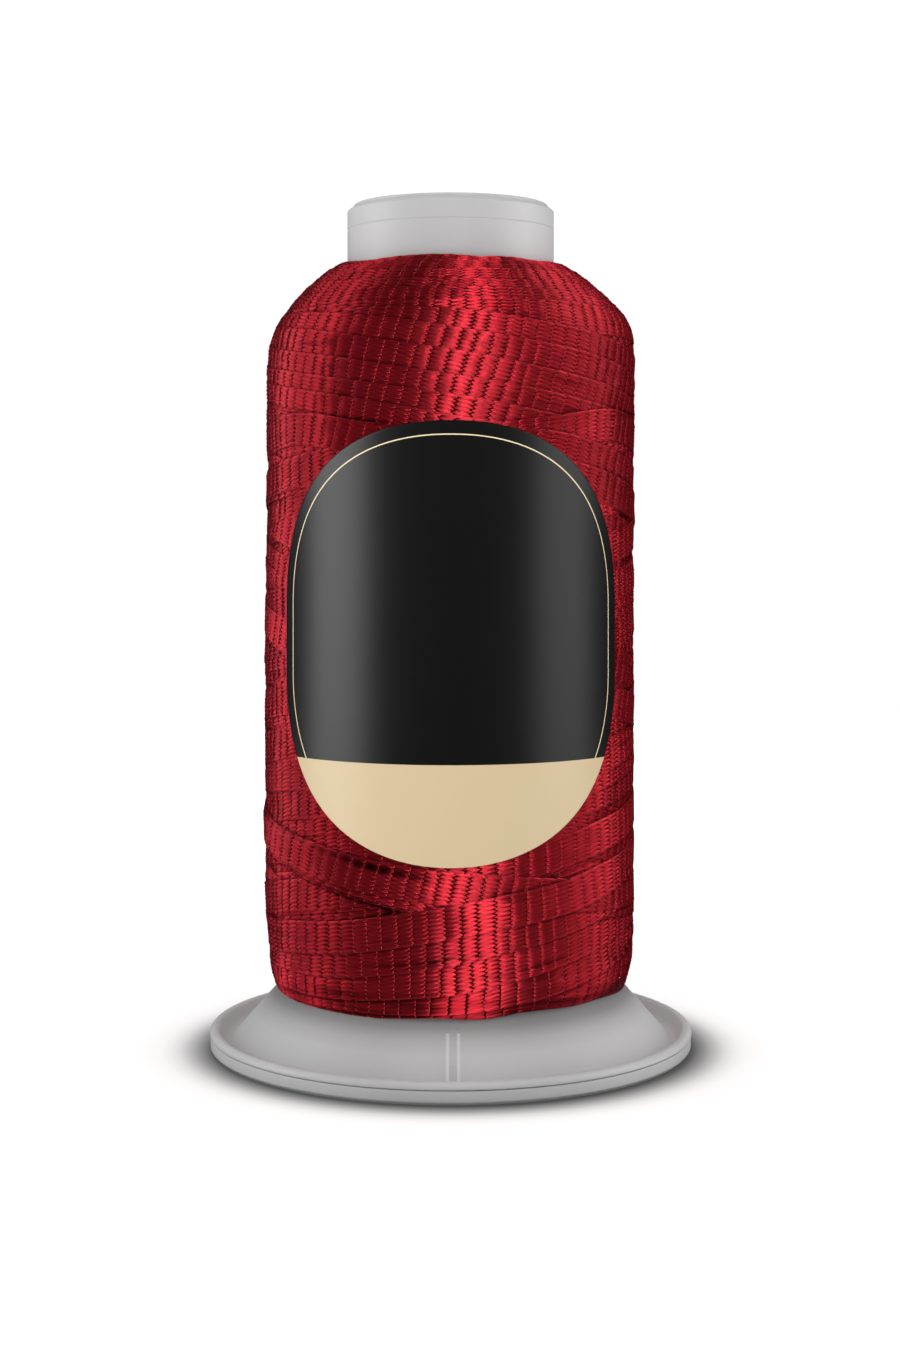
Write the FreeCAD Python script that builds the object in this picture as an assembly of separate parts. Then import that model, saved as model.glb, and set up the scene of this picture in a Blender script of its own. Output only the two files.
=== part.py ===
import FreeCAD, Part
import math
import os

# Spool of thread: a two-part snap spool, wound with flat satin ribbon.
# Millimetres. +Z is up, the spool stands on z = 0 and its axis is the Z axis. The front faces -Y.

V = FreeCAD.Vector

# ---------------------------------------------------------------- driving dimensions
FOOT_DROP = 0.55          # how far the foot ring stands below the visible rim wall
Z0 = FOOT_DROP            # the rim wall's lower edge
RIM_R = 38.20             # outer radius of the tray's rim wall
RIM_H = 1.60              # height of the rim wall, up to the seam line
BEAD_R = 38.30            # outer radius of the rounded bead above the seam
BEAD_TOP = 2.78           # top of the bead above the rim wall's lower edge
SEAM_GAP = 0.10           # open seam between tray and flange

CONE_R = 35.50            # cone radius at the rim wall's lower edge level
CONE_SLOPE = 1.126        # rise of the cone for each millimetre of radius
CONE_WALL = 1.40          # cone wall, measured square to it
GROOVE_VALLEY = 0.10      # sharp corner of the groove, before its fillet
GROOVE_FILLET = 0.90
BRIM_UNDER = 0.15         # underside of the flange at the groove

TUBE_R = 16.50            # barrel, outside
TUBE_BORE_R = 15.00       # barrel, inside
TUBE_TOP = 132.85         # top of the barrel above the rim wall's lower edge
NECK_BEVEL_R, NECK_BEVEL_H = 0.88, 0.65   # bevel round the top of the neck
NECK_LINE_Z = 129.30      # fine moulding line round the neck
CATCH_R = 15.60           # annular groove for the barbs
CATCH_LO, CATCH_HI = 29.40, 38.00

SLEEVE_R = 14.92          # sleeve, outside: 0.08 mm running clearance in the barrel
SLEEVE_BORE_R = 13.20     # sleeve, inside
SLEEVE_TOP = 46.00
BARB_R = 15.45
BARB_LO, BARB_HI = 33.50, 36.80
SLOT_W = 1.50             # slots between the four spring fingers
SLOT_LO = 24.00
SNAP_TRAVEL = 4.00        # how far the tray can be drawn out

FLOOR_T = 0.60            # tray floor under the groove
UNDER_RIBS = 12

LIP_R = 15.55             # collar of the bush that shows above the neck
LIP_H = 0.45
BUSH_R = 15.03            # pressed into the barrel
BUSH_BORE_R = 11.00
BUSH_L = 12.00

WIND_R = 29.50            # ribbon package, straight part
LABEL_T = 0.14
LABEL_HALF_ARC = 29.86
LABEL_LO, LABEL_HI = 32.10, 97.86
LABEL_LOWER_Z, LABEL_UPPER_Z = 60.0, 70.0   # where the straight sides start and end

GUIDE_ANGLES = (-0.85, 1.97)   # the two tail guides, degrees from the front
GUIDE_W, GUIDE_PROUD = 0.50, 0.22


# ---------------------------------------------------------------- helpers
def rounded_wire(pts):
    """A closed wire in the XZ plane through (r, z, fillet) corners, as straight runs and tangent arcs."""
    n = len(pts)
    edges = []
    arcs = []
    for i, p in enumerate(pts):
        r, z = p[0], p[1]
        f = p[2] if len(p) > 2 else 0.0
        a = V(pts[i - 1][0], 0, pts[i - 1][1])
        b = V(r, 0, z)
        c = V(pts[(i + 1) % n][0], 0, pts[(i + 1) % n][1])
        if f <= 0:
            arcs.append((b, b, None))
            continue
        u = (a - b).normalize()
        w = (c - b).normalize()
        half = math.acos(max(-1.0, min(1.0, u.dot(w)))) / 2
        t = f / math.tan(half)
        p1, p2 = b + u * t, b + w * t
        bis = (u + w).normalize()
        centre = b + bis * (f / math.sin(half))
        mid = centre - bis * f
        arcs.append((p1, p2, mid))
    for i in range(n):
        p1, p2, mid = arcs[i]
        if mid is not None:
            edges.append(Part.Arc(p1, mid, p2).toShape())
        q1 = arcs[(i + 1) % n][0]
        if (q1 - p2).Length > 1e-7:
            edges.append(Part.LineSegment(p2, q1).toShape())
    return Part.Wire(edges)


def lathe(pts, angle=360.0, start=0.0):
    face = Part.Face(rounded_wire(pts))
    solid = face.revolve(V(0, 0, 0), V(0, 0, 1), angle)
    if start:
        solid.rotate(V(0, 0, 0), V(0, 0, 1), start)
    if solid.Volume < 0:
        solid.reverse()
    return solid


def cone_r(z_rel, inset=0.0):
    """Cone radius at a height above the rim wall's lower edge, inset square to the surface."""
    shift = inset / math.sin(math.atan(CONE_SLOPE))
    return CONE_R - shift - z_rel / CONE_SLOPE


def clean(shape):
    shape = shape.removeSplitter()
    if len(shape.Solids) == 1:
        shape = shape.Solids[0]
    return shape


# ---------------------------------------------------------------- snap base (lower moulding)
floor_top = FLOOR_T
rim_in = RIM_R - 0.95
base = lathe([
    (13.70, 0.0),
    (15.60, 0.0, 0.15),
    (15.60, 0.80, 0.20),
    (31.00, 0.80, 0.20),
    (31.00, 0.0, 0.15),
    (RIM_R - 0.45, 0.0, 0.10),
    (RIM_R, Z0 - 0.05, 0.35),
    (RIM_R, Z0 + RIM_H, 0.12),
    (rim_in, Z0 + RIM_H, 0.12),
    (rim_in, floor_top, 0.10),
    (32.30, floor_top, 0.20),
    (31.60, 1.80, 0.30),
    (16.60, 1.80, 0.80),
    (SLEEVE_R, 4.20, 2.00),
    (SLEEVE_R, SLEEVE_TOP, 0.50),
    (SLEEVE_BORE_R, SLEEVE_TOP, 0.50),
    (SLEEVE_BORE_R, 0.50),
])

# barbs: a flat catching face below, a long lead-in slope above
barbs = []
for k in range(4):
    ring = lathe([
        (SLEEVE_R - 0.6, BARB_LO),
        (BARB_R, BARB_LO, 0.10),
        (BARB_R, BARB_LO + 0.90, 0.25),
        (SLEEVE_R - 0.05, BARB_HI),
        (SLEEVE_R - 0.6, BARB_HI),
    ], 36.0, 90.0 * k - 18.0)
    barbs.append(ring)
base = base.fuse(barbs)

# underside ribs between the inner and outer foot rings
ribs = []
for k in range(UNDER_RIBS):
    rib = Part.makeBox(31.3 - 15.3, 1.0, 0.75, V(15.3, -0.5, 0.20))
    rib.rotate(V(0, 0, 0), V(0, 0, 1), 360.0 / UNDER_RIBS * k + 15.0)
    ribs.append(rib)
base = base.fuse(ribs)

# slots that free the four fingers, with round feet against splitting
for k in range(4):
    slot = Part.makeBox(6.0, SLOT_W, SLEEVE_TOP - SLOT_LO + 2.0, V(11.0, -SLOT_W / 2, SLOT_LO))
    foot = Part.makeCylinder(SLOT_W * 0.75, 6.0, V(11.0, 0, SLOT_LO), V(1, 0, 0))
    cut = slot.fuse(foot)
    cut.rotate(V(0, 0, 0), V(0, 0, 1), 90.0 * k + 45.0)
    base = base.cut(cut)
base = clean(base)

# ---------------------------------------------------------------- barrel with flange (upper moulding)
slope_dir = math.radians(63.0)
valley_r = cone_r(GROOVE_VALLEY)
bead_in_r = valley_r + (BEAD_TOP - GROOVE_VALLEY) / math.tan(slope_dir)
seam_up = RIM_H + SEAM_GAP
spigot_r = rim_in - 0.10
tube_foot = (CONE_R - TUBE_R) * CONE_SLOPE
bore_foot = (CONE_R - CONE_WALL / math.sin(math.atan(CONE_SLOPE)) - TUBE_BORE_R) * CONE_SLOPE

barrel = lathe([
    (TUBE_BORE_R, Z0 + TUBE_TOP, 0.0),
    (TUBE_BORE_R, CATCH_HI + (CATCH_R - TUBE_BORE_R), 0.0),
    (CATCH_R, CATCH_HI, 0.0),
    (CATCH_R, CATCH_LO, 0.0),
    (TUBE_BORE_R, CATCH_LO, 0.0),
    (TUBE_BORE_R, Z0 + bore_foot, 0.60),
    (cone_r(BRIM_UNDER, CONE_WALL), Z0 + BRIM_UNDER, 0.10),
    (spigot_r, Z0 + BRIM_UNDER, 0.15),
    (spigot_r, Z0 + seam_up, 0.15),
    (BEAD_R, Z0 + seam_up, 0.12),
    (BEAD_R, Z0 + BEAD_TOP, 0.85),
    (bead_in_r, Z0 + BEAD_TOP, 0.55),
    (valley_r, Z0 + GROOVE_VALLEY, GROOVE_FILLET),
    (TUBE_R, Z0 + tube_foot, 1.50),
    (TUBE_R, Z0 + NECK_LINE_Z - 0.15, 0.0),
    (TUBE_R - 0.08, Z0 + NECK_LINE_Z, 0.0),
    (TUBE_R, Z0 + NECK_LINE_Z + 0.15, 0.0),
    (TUBE_R, Z0 + TUBE_TOP - NECK_BEVEL_H, 0.30),
    (TUBE_R - NECK_BEVEL_R, Z0 + TUBE_TOP, 0.12),
])

# two thin raised tail guides that run down the front of the cone to the groove
guides = []
for a in GUIDE_ANGLES:
    z_hi, z_lo = 8.2, 1.3
    prof = [
        V(cone_r(z_hi) - 0.4, 0, Z0 + z_hi - 0.2),
        V(cone_r(z_hi), 0, Z0 + z_hi + 0.1),
        V(cone_r(z_hi) + GUIDE_PROUD, 0, Z0 + z_hi - 0.4),
        V(cone_r(z_lo) + GUIDE_PROUD, 0, Z0 + z_lo + 0.4),
        V(cone_r(z_lo) + 0.05, 0, Z0 + z_lo),
        V(cone_r(z_lo) - 0.4, 0, Z0 + z_lo + 0.1),
    ]
    face = Part.Face(Part.makePolygon(prof + [prof[0]]))
    g = face.extrude(V(0, GUIDE_W, 0))
    g.translate(V(0, -GUIDE_W / 2, 0))
    g.rotate(V(0, 0, 0), V(0, 0, 1), -90.0 + a)
    guides.append(g)
barrel = clean(barrel.fuse(guides))

# ---------------------------------------------------------------- spindle bush in the neck
top = Z0 + TUBE_TOP
bush_skin = lathe([
    (BUSH_BORE_R, top + LIP_H, 0.40),
    (BUSH_BORE_R, top - BUSH_L + 1.0, 0.25),
    (BUSH_BORE_R + 1.2, top - BUSH_L + 1.0, 0.25),
    (BUSH_BORE_R + 1.2, top - 1.2, 0.30),
    (13.70, top - 1.2, 0.30),
    (13.70, top - BUSH_L, 0.20),
    (BUSH_R, top - BUSH_L, 0.50),
    (BUSH_R, top, 0.0),
    (LIP_R, top, 0.0),
    (LIP_R, top + LIP_H, 0.38),
])
bush_ribs = []
for k in range(6):
    rib = Part.makeBox(1.9, 1.0, BUSH_L - 2.4, V(BUSH_BORE_R + 1.0, -0.5, top - BUSH_L + 1.6))
    rib.rotate(V(0, 0, 0), V(0, 0, 1), 60.0 * k)
    bush_ribs.append(rib)
bush = clean(bush_skin.fuse(bush_ribs))

# ---------------------------------------------------------------- ribbon package
# outer line of the winding from the neck down over the shoulder, then the straight side and the lower edge
shoulder = [(16.50, 124.75), (17.30, 124.50), (18.60, 123.70), (21.20, 121.75), (23.60, 119.70),
            (26.80, 116.45), (28.60, 113.25), (29.28, 110.20), (WIND_R, 105.60)]
lower = [(WIND_R, 23.0), (29.22, 16.5), (28.76, 12.2), (28.15, 9.75)]
foot_r = 27.75
foot_z = (CONE_R - foot_r) * CONE_SLOPE
sh = [V(r, 0, Z0 + z) for r, z in shoulder]
lo = [V(r, 0, Z0 + z) for r, z in lower] + [V(foot_r, 0, Z0 + foot_z)]
s_curve = Part.BSplineCurve()
s_curve.interpolate(Points=sh, InitialTangent=V(1, 0, -0.05), FinalTangent=V(0, 0, -1))
l_curve = Part.BSplineCurve()
l_curve.interpolate(Points=lo, InitialTangent=V(0, 0, -1), FinalTangent=V(-0.8, 0, -0.6))
tube_pt = V(TUBE_R, 0, Z0 + tube_foot)
f_fillet = 1.50
# the package follows the barrel's own fillet between cone and tube
u = (V(foot_r, 0, Z0 + foot_z) - tube_pt).normalize()
w = (sh[0] - tube_pt).normalize()
half = math.acos(u.dot(w)) / 2
t = f_fillet / math.tan(half)
q1, q2 = tube_pt + u * t, tube_pt + w * t
bis = (u + w).normalize()
qm = tube_pt + bis * (f_fillet / math.sin(half) - f_fillet)
wire = Part.Wire([
    s_curve.toShape(),
    Part.LineSegment(sh[-1], lo[0]).toShape(),
    l_curve.toShape(),
    Part.LineSegment(lo[-1], q1).toShape(),
    Part.Arc(q1, qm, q2).toShape(),
    Part.LineSegment(q2, sh[0]).toShape(),
])
winding = Part.Face(wire).revolve(V(0, 0, 0), V(0, 0, 1), 360.0)
if winding.Volume < 0:
    winding.reverse()

# ---------------------------------------------------------------- front label
def label_half(z):
    """Half the label's width, along the arc, at a height above the rim wall's lower edge."""
    if z > LABEL_UPPER_Z:
        h, n = (z - LABEL_UPPER_Z) / (LABEL_HI - LABEL_UPPER_Z), 2.15
    elif z < LABEL_LOWER_Z:
        h, n = (LABEL_LOWER_Z - z) / (LABEL_LOWER_Z - LABEL_LO), 2.05
    else:
        return LABEL_HALF_ARC
    return LABEL_HALF_ARC * max(0.0, 1.0 - h ** n) ** (1.0 / n)


zs_hi = [LABEL_UPPER_Z + (LABEL_HI - LABEL_UPPER_Z) * math.sin(math.radians(a)) for a in range(0, 91, 9)]
zs_lo = [LABEL_LOWER_Z - (LABEL_LOWER_Z - LABEL_LO) * math.sin(math.radians(a)) for a in range(0, 91, 9)]


def projected(z, side):
    return V(side * WIND_R * math.sin(label_half(z) / WIND_R), 0, Z0 + z)


top_pts = [projected(z, -1) for z in zs_hi] + [projected(z, 1) for z in reversed(zs_hi[:-1])]
bot_pts = [projected(z, 1) for z in zs_lo] + [projected(z, -1) for z in reversed(zs_lo[:-1])]
tc = Part.BSplineCurve()
tc.interpolate(Points=top_pts, InitialTangent=V(0, 0, 1), FinalTangent=V(0, 0, -1))
bc = Part.BSplineCurve()
bc.interpolate(Points=bot_pts, InitialTangent=V(0, 0, -1), FinalTangent=V(0, 0, 1))
outline = Part.Wire([
    tc.toShape(),
    Part.LineSegment(top_pts[-1], bot_pts[0]).toShape(),
    bc.toShape(),
    Part.LineSegment(bot_pts[-1], top_pts[0]).toShape(),
])
block = Part.Face(outline).extrude(V(0, -40, 0))
shell = lathe([
    (WIND_R, Z0 + LABEL_LO - 3, 0), (WIND_R + LABEL_T, Z0 + LABEL_LO - 3, 0),
    (WIND_R + LABEL_T, Z0 + LABEL_HI + 3, 0), (WIND_R, Z0 + LABEL_HI + 3, 0),
])
label = clean(shell.common(block))

# ---------------------------------------------------------------- write the pieces
parts = {
    "snap_base": base,
    "barrel": barrel,
    "spindle_bush": bush,
    "ribbon_winding": winding,
    "front_label": label,
}
os.makedirs("parts", exist_ok=True)
for name, shape in parts.items():
    shape.exportStep("parts/%s.step" % name)
    box = shape.BoundBox
    print("%-15s solids %d valid %s volume %.1f mm3  x %.2f..%.2f y %.2f..%.2f z %.2f..%.2f" % (
        name, len(shape.Solids), shape.isValid(), shape.Volume,
        box.XMin, box.XMax, box.YMin, box.YMax, box.ZMin, box.ZMax))

# clearance between the tray and the upper parts over the whole travel
for q in (0.0, 0.5 * SNAP_TRAVEL, SNAP_TRAVEL):
    up = barrel.copy()
    up.translate(V(0, 0, q))
    common = up.common(base)
    print("travel %.1f mm: overlap %.4f mm3, nearest %.3f mm" % (q, common.Volume, up.distToShape(base)[0]))
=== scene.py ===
import math

import bpy
import numpy as np
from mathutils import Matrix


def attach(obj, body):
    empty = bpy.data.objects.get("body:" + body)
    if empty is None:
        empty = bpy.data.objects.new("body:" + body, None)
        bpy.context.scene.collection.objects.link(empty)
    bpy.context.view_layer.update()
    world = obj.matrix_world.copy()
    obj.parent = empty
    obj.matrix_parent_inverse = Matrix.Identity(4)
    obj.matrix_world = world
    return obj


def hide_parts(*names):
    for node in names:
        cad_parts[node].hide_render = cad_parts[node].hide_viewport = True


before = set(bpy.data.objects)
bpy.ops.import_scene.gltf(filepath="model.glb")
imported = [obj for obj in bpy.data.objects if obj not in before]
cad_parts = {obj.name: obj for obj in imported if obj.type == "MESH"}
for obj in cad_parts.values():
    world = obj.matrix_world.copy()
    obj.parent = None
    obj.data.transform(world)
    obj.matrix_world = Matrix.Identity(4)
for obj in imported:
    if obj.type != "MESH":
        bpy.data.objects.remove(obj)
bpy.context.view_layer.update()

# Spool of thread: looks. The ribbon package is laid strip by strip over a height map of the package,
# so every strip lies on the strips that were wound before it. Lengths in millimetres until the meshes are made.
MM = 0.001
Z0 = 0.55                      # the rim wall's lower edge above the floor

# ---------------------------------------------------------------- camera
cam_data = bpy.data.cameras.new("camera")
cam_data.lens = 59.36
cam_data.sensor_width = 36.0
cam_data.sensor_fit = "AUTO"
cam_data.shift_x = -0.0005
cam_data.shift_y = -0.12296
cam_data.clip_start = 0.01
cam_data.clip_end = 50.0
cam = bpy.data.objects.new("camera", cam_data)
cam.location = (0.0, -0.35616, 0.08535)
cam.rotation_euler = (math.pi / 2, 0.0, 0.0)
bpy.context.scene.collection.objects.link(cam)
bpy.context.scene.camera = cam


# ---------------------------------------------------------------- small helpers
def smooth(x):
    x = np.clip(x, 0.0, 1.0)
    return x * x * (3.0 - 2.0 * x)


def periodic(knots_deg, values):
    """Smooth periodic function of an angle in radians through (degrees, value) knots."""
    k = np.radians(np.array(knots_deg, float))
    v = np.array(values, float)
    kk = np.concatenate([k - 2 * np.pi, k, k + 2 * np.pi])
    vv = np.concatenate([v, v, v])
    fine = np.linspace(-np.pi, np.pi, 721)
    raw = np.interp(fine, kk, vv)
    win = np.exp(-0.5 * (np.arange(-24, 25) / 9.0) ** 2)
    win /= win.sum()
    wrapped = np.concatenate([raw[-25:-1], raw, raw[1:25]])
    sm = np.convolve(wrapped, win, mode="valid")

    def f(th):
        t = (np.asarray(th, float) + np.pi) % (2 * np.pi) - np.pi
        return np.interp(t, fine, sm)

    return f


def clamped_spline(pts, d0, d1, n=400):
    """Points along a cubic spline through pts, chord-length spaced, with given end directions."""
    p = np.array(pts, float)
    t = np.concatenate([[0], np.cumsum(np.linalg.norm(np.diff(p, axis=0), axis=1))])
    m = len(p)
    a = np.zeros((m, m))
    b = np.zeros((m, 2))
    a[0, 0] = a[-1, -1] = 1
    b[0], b[-1] = d0, d1
    for i in range(1, m - 1):
        h0, h1 = t[i] - t[i - 1], t[i + 1] - t[i]
        a[i, i - 1], a[i, i], a[i, i + 1] = 1 / h0, 2 / h0 + 2 / h1, 1 / h1
        b[i] = 3 * ((p[i] - p[i - 1]) / h0 ** 2 + (p[i + 1] - p[i]) / h1 ** 2)
    g = np.linalg.solve(a, b)
    q = np.linspace(0, t[-1], n)
    k = np.clip(np.searchsorted(t, q, side="right") - 1, 0, m - 2)
    h = t[k + 1] - t[k]
    x = ((q - t[k]) / h)[:, None]
    h = h[:, None]
    return ((2 * x ** 3 - 3 * x ** 2 + 1) * p[k] + (x ** 3 - 2 * x ** 2 + x) * h * g[k]
            + (-2 * x ** 3 + 3 * x ** 2) * p[k + 1] + (x ** 3 - x ** 2) * h * g[k + 1])


def new_mesh_object(name, co, faces_idx, face_sizes, normals=None, uvs=None, attrs=None, smooth_shade=True):
    """An object from numpy arrays. co is in millimetres, faces_idx is flat, uvs is {name: per-loop array}."""
    me = bpy.data.meshes.new(name)
    me.vertices.add(len(co))
    me.vertices.foreach_set("co", np.ascontiguousarray(co * MM, dtype=np.float32).ravel())
    me.loops.add(len(faces_idx))
    me.loops.foreach_set("vertex_index", np.ascontiguousarray(faces_idx, dtype=np.int32))
    starts = np.concatenate([[0], np.cumsum(face_sizes)[:-1]]).astype(np.int32)
    me.polygons.add(len(face_sizes))
    me.polygons.foreach_set("loop_start", starts)
    me.update(calc_edges=True)
    me.validate()
    me.polygons.foreach_set("use_smooth", np.full(len(me.polygons), smooth_shade))
    for uv_name, uv in (uvs or {}).items():
        layer = me.uv_layers.new(name=uv_name)
        layer.data.foreach_set("uv", np.ascontiguousarray(uv, dtype=np.float32).ravel())
    for at_name, values in (attrs or {}).items():
        at = me.attributes.new(at_name, "FLOAT", "POINT")
        at.data.foreach_set("value", np.ascontiguousarray(values, dtype=np.float32))
    if normals is not None:
        me.normals_split_custom_set_from_vertices(normals.astype(np.float32))
    ob = bpy.data.objects.new(name, me)
    bpy.context.scene.collection.objects.link(ob)
    return ob


# ---------------------------------------------------------------- node material helpers
def material(name):
    m = bpy.data.materials.new(name)
    m.use_nodes = True
    nt = m.node_tree
    nt.nodes.clear()
    out = nt.nodes.new("ShaderNodeOutputMaterial")
    sh = nt.nodes.new("ShaderNodeBsdfPrincipled")
    nt.links.new(sh.outputs["BSDF"], out.inputs["Surface"])
    return m, nt, sh


def node(nt, kind, **values):
    n = nt.nodes.new(kind)
    for k, v in values.items():
        if k.startswith("_"):
            setattr(n, k[1:], v)
        else:
            n.inputs[k.replace("__", " ")].default_value = v
    return n


def mix_rgb(nt, fac, a, b):
    n = nt.nodes.new("ShaderNodeMix")
    n.data_type = "RGBA"
    for sock, val in ((n.inputs[0], fac), (n.inputs[6], a), (n.inputs[7], b)):
        if isinstance(val, bpy.types.NodeSocket):
            nt.links.new(val, sock)
        else:
            sock.default_value = val
    return n.outputs[2]


def math_node(nt, op, a, b=None, clamp=False):
    n = nt.nodes.new("ShaderNodeMath")
    n.operation = op
    n.use_clamp = clamp
    for sock, val in zip(n.inputs, (a, b)):
        if val is None:
            continue
        if isinstance(val, bpy.types.NodeSocket):
            nt.links.new(val, sock)
        else:
            sock.default_value = val
    return n.outputs[0]


def ramp(nt, fac, stops):
    n = nt.nodes.new("ShaderNodeValToRGB")
    el = n.color_ramp.elements
    el[0].position, el[0].color = stops[0]
    el[1].position, el[1].color = stops[-1]
    for pos, col in stops[1:-1]:
        e = el.new(pos)
        e.color = col
    nt.links.new(fac, n.inputs[0])
    return n.outputs[0]


def srgb(r, g, b):
    def f(c):
        c /= 255.0
        return c / 12.92 if c <= 0.04045 else ((c + 0.055) / 1.055) ** 2.4
    return (f(r), f(g), f(b), 1.0)


# ---------------------------------------------------------------- ribbon package: outline
SHOULDER = [(16.50, 124.75), (17.30, 124.50), (18.60, 123.70), (21.20, 121.75), (23.60, 119.70),
            (26.80, 116.45), (28.60, 113.25), (29.28, 110.20), (29.50, 105.60)]
LOWER = [(29.50, 23.0), (29.22, 16.5), (28.76, 12.2), (28.15, 9.75), (27.75, 8.73)]
WIND_R = 29.50

outline = np.concatenate([
    clamped_spline(SHOULDER, (1.0, -0.05), (0.0, -1.0)),
    np.stack([np.full(400, 29.50), np.linspace(105.6, 23.0, 400)], 1)[1:],
    clamped_spline(LOWER, (0.0, -1.0), (-0.8, -0.6))[1:],
])
run = np.concatenate([[0], np.cumsum(np.linalg.norm(np.diff(outline, axis=0), axis=1))])
DS = 0.1
NS = int(run[-1] / DS) + 1
S = np.arange(NS) * DS
PR = np.interp(S, run, outline[:, 0])
PZ = np.interp(S, run, outline[:, 1])
tr, tz = np.gradient(PR, DS), np.gradient(PZ, DS)
ln = np.hypot(tr, tz)
NR, NZ = -tz / ln, tr / ln
kern = np.hanning(41)
kern /= kern.sum()
NR = np.convolve(np.pad(NR, 20, mode="edge"), kern, mode="valid")
NZ = np.convolve(np.pad(NZ, 20, mode="edge"), kern, mode="valid")
ln = np.hypot(NR, NZ)
NR, NZ = NR / ln, NZ / ln
S_END = S[-1]

NT = 1536
DT = 2 * np.pi / NT
H = np.zeros((NT, NS), np.float32)       # top of what has been wound so far, along the outline's normal


def s_of_z(z):
    """Distance along the outline at a height, on the straight side or below it."""
    low = PZ < 108.0
    return np.interp(-np.asarray(z, float), -PZ[low], S[low])


def grid_sample(g, th, s):
    x = (th / DT) % NT
    i0 = np.floor(x).astype(np.int64)
    fx = (x - i0).astype(np.float32)
    i0 %= NT
    i1 = (i0 + 1) % NT
    y = np.clip(s / DS, 0, NS - 1.001)
    j0 = y.astype(np.int64)
    fy = (y - j0).astype(np.float32)
    return ((g[i0, j0] * (1 - fx) + g[i1, j0] * fx) * (1 - fy)
            + (g[i0, j0 + 1] * (1 - fx) + g[i1, j0 + 1] * fx) * fy)


# ---------------------------------------------------------------- ribbon package: the tape
TAPE_W = 4.9                   # width of the ribbon
TAPE_T = 0.25                  # thickness of the ribbon
CELL = 2.5                     # length of one stitch column along the ribbon
BUNDLES = 8                    # float bundles across the ribbon
ROWS_A = np.array([0.0, 0.025, 0.07, 0.20, 0.50, 0.80, 0.93, 0.972, 1.0])
ZIG = 0.18                     # the bundles' pointed ends reach this far past their column's line
PRESS = 0.60                   # how much of a strip's thickness stays visible, pressed in the pile
NCO = 17                       # coarse samples across
NFI = BUNDLES * 4 + 1          # fine samples across
DU = CELL / 8                  # coarse samples along
LEAD = 4.67                    # travel along the outline per radian of turn
STEP = 3.03                    # spacing of neighbouring strips
SKEW = 0.13                    # the stitch columns lean by this much from square

rng = np.random.default_rng(20)

# lower edge of the package on the cone, as heights round the axis; the front follows the photograph
bottom_edge = periodic(
    [-180, -160, -140, -120, -105, -88, -68, -47, -30, -19, -11, -3, 3, 8, 13, 21, 28, 37, 45, 55, 69, 79, 88, 105, 125, 150, 165],
    [9.3, 8.8, 9.3, 8.8, 8.3, 7.9, 8.1, 8.4, 8.6, 8.9, 9.2, 9.4, 9.2, 8.8, 9.1, 9.8, 9.9, 9.6, 9.5, 9.8, 9.2, 8.8, 8.7, 9.3, 10.1, 9.2, 8.9])
# where the package meets the neck, below the outline's own start
neck_drop = periodic(
    [-180, -150, -120, -100, -82, -59, -45, -34, -25, -8, 0, 7, 15, 24, 34, 40, 53, 76, 100, 130, 155],
    [0.5, 0.2, 0.6, 0.4, 0.1, 0.7, 0.95, 0.7, 0.55, 0.45, 0.45, 0.6, 0.85, 0.6, 0.5, 0.75, 0.8, 0.3, 0.5, 0.8, 0.3])


def closing(b, step, radius, reach):
    """Upper envelope of b along its first axis by a parabola of that radius: how far a stretched strip bridges."""
    n = b.shape[0]
    pad = np.pad(b, ((reach, reach), (0, 0)), mode="edge")
    d = np.full_like(pad, -1e9)
    for k in range(-reach, reach + 1):
        drop = (k * step) ** 2 / (2 * radius)
        lo, hi = max(0, k), min(pad.shape[0], pad.shape[0] + k)
        d[lo:hi] = np.maximum(d[lo:hi], pad[lo - k:hi - k] - drop)
    e = np.full_like(pad, 1e9)
    for k in range(-reach, reach + 1):
        drop = (k * step) ** 2 / (2 * radius)
        lo, hi = max(0, k), min(pad.shape[0], pad.shape[0] + k)
        e[lo:hi] = np.minimum(e[lo:hi], d[lo - k:hi - k] + drop)
    return e[reach:reach + n]


def blur_axis(b, sigma, axis):
    r = max(1, int(3 * sigma))
    k = np.exp(-0.5 * (np.arange(-r, r + 1) / sigma) ** 2)
    k /= k.sum()
    pad = [(0, 0)] * b.ndim
    pad[axis] = (r, r)
    p = np.pad(b, pad, mode="edge")
    out = np.zeros_like(b)
    for i, w in enumerate(k):
        sl = [slice(None)] * b.ndim
        sl[axis] = slice(i, i + b.shape[axis])
        out += w * p[tuple(sl)]
    return out


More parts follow.
